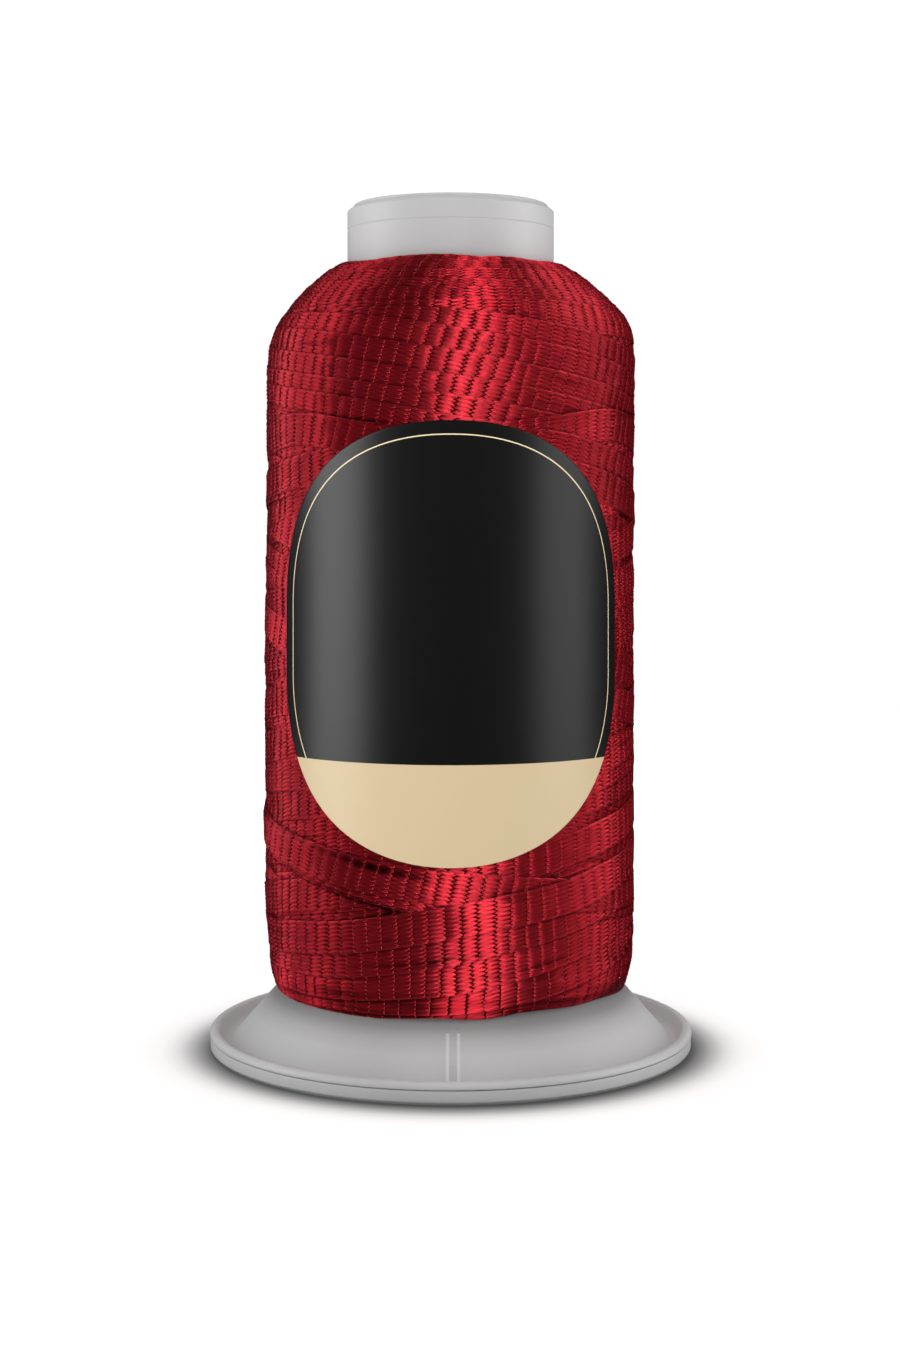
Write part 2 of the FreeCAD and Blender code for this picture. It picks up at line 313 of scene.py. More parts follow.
class Strip:
    """One stretch of ribbon: its centre line over columns i0.. of the grid, laid over what is there."""

    def __init__(self, th0, s_line, wob=0.25, twist=0.0):
        self.i0 = int(round(th0 / DT))
        n = len(s_line)
        th = (self.i0 + np.arange(n)) * DT
        wobble = np.zeros(n)
        for f, a in ((1.7, 0.5), (3.1, 0.3), (6.3, 0.2), (11.0, 0.07)):
            wobble += a * np.sin(f * th + rng.uniform(0, 6.28))
        s = s_line + wob * wobble
        half = TAPE_W / 2
        floor_s = s_of_z(bottom_edge(th)) - half * 1.01
        over = s - floor_s                      # the strip's lower edge stays above the package's lower edge
        s = np.where(over > -1.5, floor_s - 0.75 * np.log1p(np.exp(-np.clip(over, -40, 40) / 0.75)), s)
        lo = half * 1.0 + 0.02
        under = lo - s
        s = np.where(under > -1.5, lo + 0.5 * np.log1p(np.exp(-np.clip(under, -40, 40) / 0.5)), s)
        self.th, self.s = th, s
        r = np.interp(s, S, PR)
        ds = np.gradient(s)
        dx = r * DT
        length = np.hypot(dx, ds)
        self.cos, self.sin = dx / length, ds / length
        self.u = np.concatenate([[0], np.cumsum(0.5 * (length[1:] + length[:-1]))])
        self.r = r
        self.rows = int(self.u[-1] / DU)
        self.ru = np.arange(self.rows) * DU
        self.g = np.zeros((self.rows, NCO), np.float32)

    def at(self, u):
        return (np.interp(u, self.u, self.th), np.interp(u, self.u, self.s), np.interp(u, self.u, self.cos),
                np.interp(u, self.u, self.sin), np.interp(u, self.u, self.r))

    def place(self, u, w):
        """Angle and outline distance of points u along and w across (arrays that broadcast)."""
        th, s, c, sn, r = self.at(u)
        x = w * (-sn - SKEW * c)
        return th + x / r, s + w * (c - SKEW * sn)

    def lay(self):
        w = np.linspace(-TAPE_W / 2, TAPE_W / 2, NCO)[None, :]
        chunk = int(55.0 / DU)
        reach = 14
        pending = None
        for a in range(0, self.rows, chunk):
            b = min(self.rows, a + chunk)
            a2, b2 = max(0, a - 2 * reach), min(self.rows, b + 2 * reach)
            th, s = self.place(self.ru[a2:b2, None], w)
            base = grid_sample(H, th, s)
            g = closing(base, DU, 30.0, reach)
            g = closing(np.ascontiguousarray(g.T), TAPE_W / (NCO - 1), 14.0, 6).T
            g = np.maximum(g, blur_axis(blur_axis(g, 2.5, 0), 1.2, 1))
            g = blur_axis(g, 1.5, 0)
            self.g[a:b] = g[a - a2:b - a2]
            if pending:
                self.deposit(*pending)
            pending = (a, b)
        self.deposit(*pending)

    def deposit(self, a, b):
        u0, u1 = self.ru[a], self.ru[b - 1] + DU
        k = np.nonzero((self.u >= u0) & (self.u < u1))[0]
        if not len(k):
            return
        reach = int(TAPE_W / 2 / DS / 0.85) + 2
        j = np.round(self.s[k] / DS).astype(int)[:, None] + np.arange(-reach, reach + 1)[None, :]
        v = j * DS - self.s[k][:, None]
        w = v * self.cos[k][:, None]
        du = w * (self.sin[k] / self.cos[k] + SKEW)[:, None]
        row = (self.u[k][:, None] + du) / DU
        col = (w + TAPE_W / 2) / (TAPE_W / (NCO - 1))
        ok = (col >= 0) & (col <= NCO - 1) & (j >= 0) & (j < NS) & (row >= 0) & (row < self.rows - 1.01)
        row, col = np.clip(row, 0, self.rows - 1.01), np.clip(col, 0, NCO - 1.001)
        r0, c0 = row.astype(int), col.astype(int)
        fr, fc = row - r0, col - c0
        # rows not computed yet, at the chunk's end, copy the last one
        r0c, r1c = np.minimum(r0, b - 1), np.minimum(r0 + 1, b - 1)
        g = self.g
        top = ((g[r0c, c0] * (1 - fr) + g[r1c, c0] * fr) * (1 - fc)
               + (g[r0c, c0 + 1] * (1 - fr) + g[r1c, c0 + 1] * fr) * fc) + TAPE_T
        ii = np.broadcast_to(((self.i0 + k) % NT)[:, None], j.shape)[ok]
        jj = j[ok]
        H[ii, jj] = np.maximum(H[ii, jj], top[ok].astype(np.float32))


def hook(th_apex, s_top, before, after, lead=LEAD, round_off=0.5, sign=1.0):
    """Centre line that runs in, turns at th_apex and runs out again; sign -1 turns at the bottom."""
    a = np.arange(int(-before / DT), int(after / DT)) * DT
    return th_apex + a[0], s_top + sign * lead * (np.sqrt(a ** 2 + round_off ** 2) - round_off)


strips = []


def wind(th0, s_line, **kw):
    st = Strip(th0, s_line, **kw)
    st.lay()
    strips.append(st)


rad = math.radians
# 1. earlier full strokes, which show between the later ones
for d in (1.0, -1.0):
    for k in range(7):
        t0 = rad(23 + 52 * k) - (S_END / LEAD)
        n = int((S_END - 10.0) / LEAD / DT)
        line = 6.0 + np.arange(n) * DT * LEAD
        wind(t0, line if d > 0 else line[::-1], wob=0.5)
# 1b. the lower end: turns that rest near the cone
for k in range(4):
    for h in range(3):
        ap = rad(40 + 120 * h + 47 * k + rng.uniform(-12, 12))
        th0, line = hook(ap, S_END - 0.6 - 1.5 * (3 - k), 2.4, 2.4, lead=3.6, round_off=0.9, sign=-1.0)
        wind(th0, line, wob=0.3)
# 2. the shoulder: nearly level turns that step down from the neck
a = np.arange(int(7.3 * 2 * np.pi / DT)) * DT
turned = np.maximum(a - 2 * np.pi, 0.0)              # one level turn against the neck first
wind(rad(150) - 2 * np.pi, 2.46 + 2.5 * turned / (2 * np.pi) + 0.25 * np.sin(turned + 0.6) * smooth(a / 7.0)
     + 4.6 * np.maximum(turned - 6.08 * 2 * np.pi, 0.0), wob=0.48)
# 3. parallel strips over the upper front, each a step lower than the one before
for k in range(9):
    ap = rad(-104 + rng.uniform(-9, 9) + (93, 25, 0, 0, 0, 0, 0, 0, 0)[k])
    top = (17.5, 16.9, 17.96)[k] if k < 3 else 11.9 + STEP * k
    before = 4.4 if k == 0 else 3.2
    th0, line = hook(ap, top + rng.uniform(-0.2, 0.2), before, 4.4, round_off=0.45)
    if k == 0:                                  # the first one comes in almost level
        n_in = int(before / DT)
        back = (n_in - np.arange(n_in)) * DT
        line[:n_in] = top + LEAD * (0.24 * np.maximum(back - 0.3, 0.0) + 0.9 * np.maximum(back - 2.5, 0.0))
    wind(th0, line, wob=0.22)
# 4. the last full strokes, one continuous ribbon
turn_top = []
N_DOUBLE = 10
th = rad(-52) - (N_DOUBLE - 1) * (6 * 2 * np.pi - STEP / LEAD)
for k in range(N_DOUBLE):
    turn_top.append(th + rng.uniform(-0.05, 0.05))
    th += 6 * 2 * np.pi - STEP / LEAD


def top_limit(t):
    t = (t + np.pi) % (2 * np.pi) - np.pi
    return 31.2 + 5.5 * math.exp(-(t / 0.8) ** 2)


# the last strokes turn higher and higher above the lower end, slowly near the turn, behind the left edge
knots_t, knots_s = [], []
low_t = turn_top[-1] + 2 * 2 * np.pi + rad(294.0)
LAST_LOW = 5
for k, t in enumerate(turn_top):
    back = N_DOUBLE - 1 - k
    if back < LAST_LOW:
        tb = low_t - back * (6 * 2 * np.pi - 0.5 * STEP / LEAD) + rng.uniform(-0.05, 0.05)
        sb = float(s_of_z(18.3)) + back * 2.35 + rng.uniform(-0.15, 0.15)
    else:
        tb = t + 17.7 + rng.uniform(-0.2, 0.2)
        sb = S_END - 1.5 - rng.uniform(0.0, 2.6)
    knots_t += [t, tb - 4.75, tb - 1.2, tb, tb + 0.95, tb + 1.5, tb + 2.3, tb + 4.0]
    knots_s += [top_limit(t) + rng.uniform(-0.6, 0.6), sb - 12.3, sb - 2.3, sb, sb - 0.7, sb - 2.6, sb - 7.0, sb - 15.5]
knots_t = [turn_top[0] - 17.0] + knots_t
knots_s = [S_END - 2.0] + knots_s
# the tail runs on up and ends under the label
end_t = round((knots_t[-1] + 5.0) / (2 * np.pi)) * 2 * np.pi + 0.05
knots_s.append(knots_s[-1] - (end_t - knots_t[-1]) * LEAD)
knots_t.append(end_t)
n_cols = int((knots_t[-1] - knots_t[0]) / DT)
th_line = knots_t[0] + np.arange(n_cols) * DT
line = np.interp(th_line, knots_t, knots_s)
line = blur_axis(line[:, None], 40.0, 0)[:, 0]
wind(knots_t[0], line, wob=0.38)

# ---------------------------------------------------------------- level the package to the outline
def spread(g, round_mm, along_mm):
    """Blur a grid by those sigmas round the axis and along the outline."""
    k = np.fft.rfftfreq(NT, d=1.0 / NT)
    f = np.exp(-2 * (np.pi * k / NT * round_mm / (WIND_R * DT)) ** 2)[:, None]
    out = np.fft.irfft(np.fft.rfft(g, axis=0) * f, n=NT, axis=0)
    n = 250
    out = np.pad(out, ((0, 0), (n, n)), mode="constant")
    k = np.fft.rfftfreq(out.shape[1])
    f = np.exp(-2 * (np.pi * k * (along_mm / DS)) ** 2)[None, :]
    return np.fft.irfft(np.fft.rfft(out, axis=1) * f, n=out.shape[1], axis=1)[:, n:-n]


def widest(g, n_round, n_along):
    out = g.copy()
    for k in range(1, n_round + 1):
        out = np.maximum(out, np.maximum(np.roll(g, k, 0), np.roll(g, -k, 0)))
    g2 = out.copy()
    for k in range(1, n_along + 1):
        out[:, k:] = np.maximum(out[:, k:], g2[:, :-k])
        out[:, :-k] = np.maximum(out[:, :-k], g2[:, k:])
    return out


NEAR_TOP = widest(H, 2, 3)
NEAR_TOP = (NEAR_TOP + np.roll(NEAR_TOP, 2, 0) + np.roll(NEAR_TOP, -2, 0)) / 3
NEAR_TOP[:, 2:-2] = (NEAR_TOP[:, 2:-2] + NEAR_TOP[:, :-4] + NEAR_TOP[:, 4:]) / 3
NEAR_TOP = NEAR_TOP.astype(np.float32)
MASK = (H > 0.01).astype(float)
ring_h = (H * MASK).sum(0) / np.maximum(MASK.sum(0), 1.0)
ring_m = MASK.mean(0)
kk = np.exp(-0.5 * (np.arange(-60, 61) * DS / 1.3) ** 2)
ring_h = np.convolve(ring_h * ring_m, kk, mode="same") / (np.convolve(ring_m, kk, mode="same") + 1e-9)
HS = (ring_h[None, :] + spread((H - ring_h[None, :]) * MASK, 6.5, 2.6) / (spread(MASK, 6.5, 2.6) + 1e-6)).astype(np.float32)

LABEL_HALF_ARC, LABEL_LO, LABEL_HI, LABEL_LOWER_Z, LABEL_UPPER_Z = 29.86, 32.10, 97.86, 60.0, 70.0


def label_half(z):
    z = np.asarray(z, float)
    hu = np.clip((z - LABEL_UPPER_Z) / (LABEL_HI - LABEL_UPPER_Z), 0, 1)
    hl = np.clip((LABEL_LOWER_Z - z) / (LABEL_LOWER_Z - LABEL_LO), 0, 1)
    return LABEL_HALF_ARC * np.clip(1 - hu ** 2.15, 0, 1) ** (1 / 2.15) * np.clip(1 - hl ** 2.05, 0, 1) ** (1 / 2.05)


tg = np.arange(NT) * DT
tgw = (tg + np.pi) % (2 * np.pi) - np.pi
# under the label, with a soft border: 1 inside, 0 outside
arc = np.abs(tgw)[:, None] * WIND_R
inside = (LABEL_HALF_ARC - arc) + np.zeros((1, NS))
lh = label_half(PZ)[None, :]
border = np.minimum(lh - arc, np.minimum(PZ[None, :] - LABEL_LO, LABEL_HI - PZ[None, :]))
UNDER_LABEL = smooth((border + 1.6) / 1.6).astype(np.float32)
BY_LABEL = smooth((border + 8.5) / 8.5).astype(np.float32)
PRESSED = smooth((border + 10.0) / 7.0).astype(np.float32)
# outline of the finished package: a soft bulge on the left, drawn in a little on the right, lower at the neck
side_l = np.exp(-((np.abs(tgw + rad(92))) / 0.75) ** 2)[:, None] * (smooth((PZ - 14) / 14) * smooth((84 - PZ) / 22))[None, :]
side_r = np.exp(-((np.abs(tgw - rad(90))) / 0.8) ** 2)[:, None] * (smooth((PZ - 14) / 10) * smooth((104 - PZ) / 12))[None, :]
TARGET = (-0.16 + 0.30 * side_l - 0.14 * side_r
          - 0.50 * np.exp(-((tgw + rad(90)) / 0.8) ** 2)[:, None] * np.exp(-((PZ - 115.5) / 4.5) ** 2)[None, :]
          + 0.38 * np.exp(-((tgw - rad(90)) / 0.8) ** 2)[:, None] * np.exp(-((PZ - 113.5) / 4.5) ** 2)[None, :]
          - neck_drop(tgw)[:, None] * (1 - smooth((S - 0.5) / 6.0))[None, :]
          - 0.34 * (1 - smooth(S / 2.4))[None, :]).astype(np.float32)


def finished_height(h, relief, th, s):
    """From height in the wound pile, and stitch relief on it, to height above the outline."""
    out = PRESS * (1 - 0.38 * np.exp(-(np.cos(th) / 0.42) ** 2)) * (h - grid_sample(HS, th, s))
    deep = np.maximum(-0.25 - out, 0.0)                 # gaps between strips stay shallow
    out = np.where(deep > 0, -0.25 - 0.38 * (1 - np.exp(-deep / 0.6)), out) + grid_sample(TARGET, th, s)
    out = out * (1 - 0.76 * grid_sample(PRESSED, th, s))      # pressed flatter round the label
    under = grid_sample(UNDER_LABEL, th, s)
    slope = grid_sample(BY_LABEL, th, s)
    flat = -0.05 - 0.10 * np.log1p(np.exp(-np.clip((out + 0.05) / 0.10, -30, 30)))
    return out * (1 - slope) + np.minimum(flat, -0.03) * slope + relief * (1 - 0.7 * under) - 0.05 * slope


def to_space(th, s, h):
    r = np.interp(s, S, PR) + np.interp(s, S, NR) * h
    z = np.interp(s, S, PZ) + np.interp(s, S, NZ) * h + Z0
    return np.stack([r * np.sin(th), -r * np.cos(th), z], -1)


# ---------------------------------------------------------------- ribbon meshes
N_PIECES = 16
cell_store = [dict(co=[], no=[], face=[], tape=[], bake=[], sunk=[], steep=[], n=0, cells=0) for _ in range(N_PIECES)]

jj = np.arange(NFI)
w_fine = (jj / (NFI - 1) - 0.5) * TAPE_W
pitch = TAPE_W / BUNDLES
bundle_of = np.minimum(jj // 4, BUNDLES - 1)
across = np.array([2, 1, 0, 1])[jj % 4]                 # 2 between two bundles, 0 on a bundle's crest
tri = np.array([-1.0, 0.0, 1.0, 0.0])[jj % 4]
tri[[0, -1]] = 0.0
edge_fade = 1 - np.abs(w_fine / (TAPE_W / 2)) ** 10
edge_drop = np.zeros(NFI)
edge_drop[[0, -1]] = -0.06
edge_drop[[1, -2]] = -0.012
NROW = len(ROWS_A)
#            boundary                                                    nose  boundary
CREST = np.array([-0.110, -0.030, -0.002, 0.000, 0.000, 0.000, 0.006, 0.016, -0.100])
FLANK = np.array([-0.150, -0.100, -0.062, -0.030, -0.014, -0.030, -0.062, -0.090, -0.150])
NOTCH = np.array([-0.175, -0.160, -0.128, -0.080, -0.042, -0.080, -0.128, -0.152, -0.175])
relief_ab = np.stack([CREST, FLANK, NOTCH], 1)[:, across]
relief_ab[:, [0, -1]] = CREST[:, None] * 0.6
end_of = smooth((ROWS_A - 0.60) / 0.40) - smooth((0.40 - ROWS_A) / 0.40)

for si, st in enumerate(strips):
    cells = int((st.ru[-1] - 6.0) / CELL)
    if cells < 2:
        continue
    srng = np.random.default_rng(1000 + si)
    starts = (np.arange(cells + 1) + np.clip(srng.normal(0, 0.035, cells + 1), -0.1, 0.1)) * CELL + 0.6
    drift = lambda q: 1.3 * np.sin(q / 37.0 + si * 1.7) + 0.8 * np.sin(q / 13.1 + si * 2.9)
    starts = starts + 1.2 + drift(starts) - drift(starts[:1]) * np.exp(-starts / 20.0)
    starts = np.maximum.accumulate(np.clip(starts, 0.3, st.ru[-1] - 0.3))
    lengths = np.diff(starts)
    going = np.where(st.at(starts[:-1] + CELL / 2)[3] >= 0, 1.0, -1.0)
    slant = (0.50 * going + srng.normal(0, 0.05, cells))[:, None, None]
    shut = 1 - smooth((st.at(starts[:-1] + CELL / 2)[1] - (S_END - 8.0)) / 3.0)      # no openings over the cone
    u = (starts[:-1, None, None] + ROWS_A[None, :, None] * lengths[:, None, None]
         + ZIG * shut[:, None, None] * tri[None, None, :] * end_of[None, :, None])
    w = w_fine[None, None, :] + slant * pitch * (ROWS_A - 0.5)[None, :, None] * edge_fade[None, None, :]
    nrow = cells * NROW
    u, w = u.reshape(nrow, NFI), w.reshape(nrow, NFI)
    a = np.tile(ROWS_A, cells)
    m = np.repeat(np.arange(cells), NROW)
    th, s = st.place(u, w)
    s = np.clip(s, 0.0, S_END)
    # height of the strip's underside from its coarse samples
    rr = np.clip(u / DU, 0, st.rows - 1.001)
    r0 = rr.astype(int)
    fr = rr - r0
    cc = np.clip((w + TAPE_W / 2) / (TAPE_W / (NCO - 1)), 0, NCO - 1.001)
    c0 = cc.astype(int)
    fc = cc - c0
    g = st.g
    under = ((g[r0, c0] * (1 - fr) + g[r0 + 1, c0] * fr) * (1 - fc)
             + (g[r0, c0 + 1] * (1 - fr) + g[r0 + 1, c0 + 1] * fr) * fc)
    # stitch relief
    deep_b = np.clip(1 + 0.25 * srng.normal(0, 1, (cells, BUNDLES)), 0.5, 1.5)[m, :][:, bundle_of]
    lift_b = (0.010 * srng.normal(0, 1, (cells, BUNDLES)))[m, :][:, bundle_of]
    lift_c = (0.014 * srng.normal(0, 1, cells))[m][:, None]
    tab = np.tile(relief_ab, (cells, 1))
    body = np.sin(np.pi * a)[:, None]
    lean_c = (0.030 * np.clip(srng.normal(0, 1, cells), -2, 2))[m][:, None] * (2 * a - 1)[:, None]
    lean_b = (0.012 * srng.normal(0, 1, (cells, BUNDLES)))[m, :][:, bundle_of] * (2 * a - 1)[:, None]
    relief = (tab * np.where(across[None, :] > 0, deep_b, 1.0) + (lift_b * (across < 2)[None, :] + lift_c) * body
              + lean_c + lean_b * (across < 2)[None, :] + edge_drop[None, :])
    relief = np.maximum(relief, -0.205)
    puff = 1 - smooth((s - 8.0) / 12.0)
    relief = relief * (1 + 0.35 * puff) + 0.035 * puff * body * (across[None, :] == 0)
    top_h = under + TAPE_T
    seen = grid_sample(H, th, s) < top_h + 0.13
    # skirts down to the underside
    thL, sL = th[:, :1], s[:, :1]
    thR, sR = th[:, -1:], s[:, -1:]
    TH = np.concatenate([thL, th, thR], 1)
    SS = np.clip(np.concatenate([sL - 0.03, s, sR + 0.03], 1), 0.0, S_END)
    HB = np.concatenate([top_h[:, :1], top_h, top_h[:, -1:]], 1)
    RL = np.concatenate([np.full((nrow, 1), -0.30), relief, np.full((nrow, 1), -0.30)], 1)
    SEEN = np.concatenate([seen[:, :1], seen, seen[:, -1:]], 1)
    co = to_space(TH, SS, finished_height(HB, RL, TH, SS))
    ncol = TH.shape[1]
    # painted shade: how far a point lies below the strips round it; it darkens the colour next to the edges of the
    # strips lying over it, and the skirts at least by 0.6
    PAINTED_EDGE_SHADE = np.clip((grid_sample(NEAR_TOP, TH, SS) - HB - 0.09) / 0.25, 0.0, 1.0)
    PAINTED_EDGE_SHADE[:, [0, -1]] = np.maximum(PAINTED_EDGE_SHADE[:, [0, -1]], 0.6)
    PAINTED_EDGE_SHADE = PAINTED_EDGE_SHADE * (1 - grid_sample(BY_LABEL, TH, SS))
    STEEP = 1 - smooth((SS - 10.0) / 10.0)
    # keep a border of hidden points round what shows
    keep = SEEN.copy()
    for _ in range(3):
        k2 = keep.copy()
        k2[1:] |= keep[:-1]
        k2[:-1] |= keep[1:]
        k2[:, 1:] |= keep[:, :-1]
        k2[:, :-1] |= keep[:, 1:]
        keep = k2
    qk = keep[:-1, :-1] & keep[1:, :-1] & keep[:-1, 1:] & keep[1:, 1:]
    qk[np.arange(nrow - 1) % NROW == NROW - 1] = False          # no face between two columns of stitches
    if not qk.any():
        continue
    # normals from all of a column's faces, so that cuts don't show
    c4 = co.reshape(cells, NROW, ncol, 3)
    fn = np.cross(c4[:, 1:, 1:] - c4[:, :-1, :-1], c4[:, 1:, :-1] - c4[:, :-1, 1:])
    vn = np.zeros_like(c4)
    vn[:, :-1, :-1] += fn
    vn[:, 1:, :-1] += fn
    vn[:, :-1, 1:] += fn
    vn[:, 1:, 1:] += fn
    vn = vn.reshape(nrow, ncol, 3)
    vn /= np.linalg.norm(vn, axis=-1, keepdims=True) + 1e-12
    out_dir = np.stack([np.sin(TH), -np.cos(TH), np.zeros_like(TH)], -1)
    flip = float((vn * out_dir).sum(-1).mean()) < 0
    if flip:
        vn = -vn
    vid = np.arange(nrow * ncol).reshape(nrow, ncol)
    q_i, q_j = np.nonzero(qk)
    cell_of = q_i // NROW
    mid_th = TH[cell_of * NROW + 4, ncol // 2]
    sector = np.floor(((mid_th + np.pi / N_PIECES) % (2 * np.pi)) / (2 * np.pi / N_PIECES)).astype(int) % N_PIECES
    wcol = np.concatenate([[w_fine[0] - 0.15], w_fine, [w_fine[-1] + 0.15]])
    for p in np.unique(sector):
        sel = sector == p
        qi, qj, qc = q_i[sel], q_j[sel], cell_of[sel]
        if flip:
            quad = np.stack([vid[qi, qj], vid[qi + 1, qj], vid[qi + 1, qj + 1], vid[qi, qj + 1]], 1)
            da = np.array([0, 1, 1, 0])
            dj = np.array([0, 0, 1, 1])
        else:
            quad = np.stack([vid[qi, qj], vid[qi, qj + 1], vid[qi + 1, qj + 1], vid[qi + 1, qj]], 1)
            da = np.array([0, 0, 1, 1])
            dj = np.array([0, 1, 1, 0])
        used, inv = np.unique(quad.ravel(), return_inverse=True)
        box = cell_store[p]
        box["co"].append(co.reshape(-1, 3)[used])
        box["no"].append(vn.reshape(-1, 3)[used])
        box["sunk"].append(PAINTED_EDGE_SHADE.ravel()[used])
        box["steep"].append(STEEP.ravel()[used])
        box["face"].append(inv.reshape(-1, 4) + box["n"])
        box["n"] += len(used)
        # uv along the tape, and a tile per cell for baking
        a_q = ROWS_A[(qi[:, None] + da[None, :]) % NROW]
        w_q = wcol[qj[:, None] + dj[None, :]]
        u_q = (qc[:, None] + a_q) * CELL
        box["tape"].append(np.stack([w_q / 10.0, u_q / 10.0], -1).reshape(-1, 2))
        cu_, cinv = np.unique(qc, return_inverse=True)
        box["bake"].append(np.stack([np.broadcast_to((cinv + box["cells"])[:, None], a_q.shape).astype(float),
                                     a_q, (w_q + TAPE_W / 2 + 0.15) / (TAPE_W + 0.3)], -1).reshape(-1, 3))
        box["cells"] += len(cu_)

ribbon_objects = []
for p, box in enumerate(cell_store):
    co = np.concatenate(box["co"])
    no = np.concatenate(box["no"])
    fa = np.concatenate(box["face"]).ravel()
    tape = np.concatenate(box["tape"])
    bk = np.concatenate(box["bake"])
    # tiles are twice as tall as wide: a cell is 2.5 x 4.9 mm
    ncols = int(math.ceil(math.sqrt(box["cells"] * 2.0)))
    nrows = int(math.ceil(box["cells"] / ncols))
    ci = bk[:, 0].astype(int)
    tx, ty = ci % ncols, ci // ncols
    mx, my = 0.06, 0.03
    bake = np.stack([(tx + mx + bk[:, 1] * (1 - 2 * mx)) / ncols, (ty + my + bk[:, 2] * (1 - 2 * my)) / nrows], -1)
    ob = new_mesh_object("ribbon_wraps_%02d" % (p + 1), co, fa, np.full(len(fa) // 4, 4), normals=no,
                         uvs={"tape": tape, "OFBake": bake}, attrs={"sunk": np.concatenate(box["sunk"]), "steep": np.concatenate(box["steep"])})
    ribbon_objects.append(ob)
print("ribbon: %d strips, %d quads in %d pieces, largest %d" % (
    len(strips), sum(len(o.data.polygons) for o in ribbon_objects), len(ribbon_objects),
    max(len(o.data.polygons) for o in ribbon_objects)))

# ---------------------------------------------------------------- wound ribbon underneath, a closed ring
CONE_R, CONE_SLOPE, TUBE_R = 35.50, 1.126, 16.50
deep = 0.85
core_pts = []
for s in np.linspace(0.6, S_END - 0.3, 120):
    d = deep + 1.0 * (1 - float(smooth((s - 0.5) / 6.0))) + 1.6 * float(smooth((s - S_END + 9.0) / 7.0))
    r = np.interp(s, S, PR) - np.interp(s, S, NR) * d
    z = np.interp(s, S, PZ) - np.interp(s, S, NZ) * d
    z = max(z, (CONE_R - r) * CONE_SLOPE + 0.12)
    core_pts.append((max(r, TUBE_R + 0.05), z))
foot = core_pts[-1]
core_pts += [(17.9, (CONE_R - 17.9) * CONE_SLOPE + 0.9), (TUBE_R + 0.06, (CONE_R - TUBE_R) * CONE_SLOPE + 2.4)]
core_pts = np.array(core_pts)
nseg = 180
ang = np.arange(nseg) * 2 * np.pi / nseg
co = np.stack([core_pts[None, :, 0] * np.sin(ang)[:, None], -core_pts[None, :, 0] * np.cos(ang)[:, None],
               np.broadcast_to(core_pts[None, :, 1] + Z0, (nseg, len(core_pts)))], -1)
npt = len(core_pts)
vid = np.arange(nseg * npt).reshape(nseg, npt)
i0 = np.arange(nseg)[:, None]
k0 = np.arange(npt)[None, :]
quads = np.stack([vid[i0, k0], vid[i0, (k0 + 1) % npt], vid[(i0 + 1) % nseg, (k0 + 1) % npt], vid[(i0 + 1) % nseg, k0]], -1)
core = new_mesh_object("ribbon_core", co.reshape(-1, 3), quads.reshape(-1), np.full(nseg * npt, 4))

# ---------------------------------------------------------------- label
LABEL_T = 0.14
zz = np.concatenate([
    LABEL_UPPER_Z + (LABEL_HI - LABEL_UPPER_Z) * np.cos(np.linspace(0, np.pi / 2, 700)),
    np.linspace(LABEL_UPPER_Z, LABEL_LOWER_Z, 60)[1:-1],
    LABEL_LOWER_Z - (LABEL_LOWER_Z - LABEL_LO) * np.sin(np.linspace(0, np.pi / 2, 700)),
])
right = np.stack([label_half(zz), zz], 1)
loop = np.concatenate([right, right[::-1][1:-1] * np.array([-1.0, 1.0])])
closed = np.concatenate([loop, loop[:1]])
run_l = np.concatenate([[0], np.cumsum(np.linalg.norm(np.diff(closed, axis=0), axis=1))])
NL = 480
q = np.arange(NL) / NL * run_l[-1]
ring0 = np.stack([np.interp(q, run_l, closed[:, 0]), np.interp(q, run_l, closed[:, 1])], 1)
tan = np.roll(ring0, -1, 0) - np.roll(ring0, 1, 0)
tan /= np.linalg.norm(tan, axis=1, keepdims=True)
inward = np.stack([tan[:, 1], -tan[:, 0]], 1)
cen = np.array([0.0, 64.0])
if ((cen - ring0) * inward).sum() < 0:
    inward = -inward
insets = [0.0, 0.05, 0.14, 0.4, 1.0, 1.70, 1.90, 2.02, 2.14, 2.34, 3.2]
rings = [ring0 + inward * d for d in insets]
depth = [np.full(NL, d) for d in insets]
last = rings[-1]
for lam in (0.92, 0.82, 0.70, 0.56, 0.42, 0.28, 0.14):
    rings.append(cen + (last - cen) * lam)
    depth.append(np.full(NL, 6.0))
lift = [LABEL_T - 0.05, LABEL_T - 0.012, LABEL_T] + [LABEL_T] * (len(rings) - 3)
flat_pts = [np.concatenate([r, np.full((NL, 1), l), d[:, None]], 1) for r, l, d in zip(rings, lift, depth)]
back_rings = [0, 4, len(insets) - 1, len(rings) - 4]
back_pts = [np.concatenate([rings[b], np.full((NL, 1), 0.0), depth[b][:, None]], 1) for b in back_rings]
pts = np.concatenate(flat_pts + [np.array([[cen[0], cen[1], LABEL_T, 6.0]])] + back_pts + [np.array([[cen[0], cen[1], 0.0, 6.0]])])
n_front = len(rings) * NL
faces = []
i = np.arange(NL)
i2 = (i + 1) % NL


def ring_quads(a, b):
    return np.stack([a + i, a + i2, b + i2, b + i], 1)


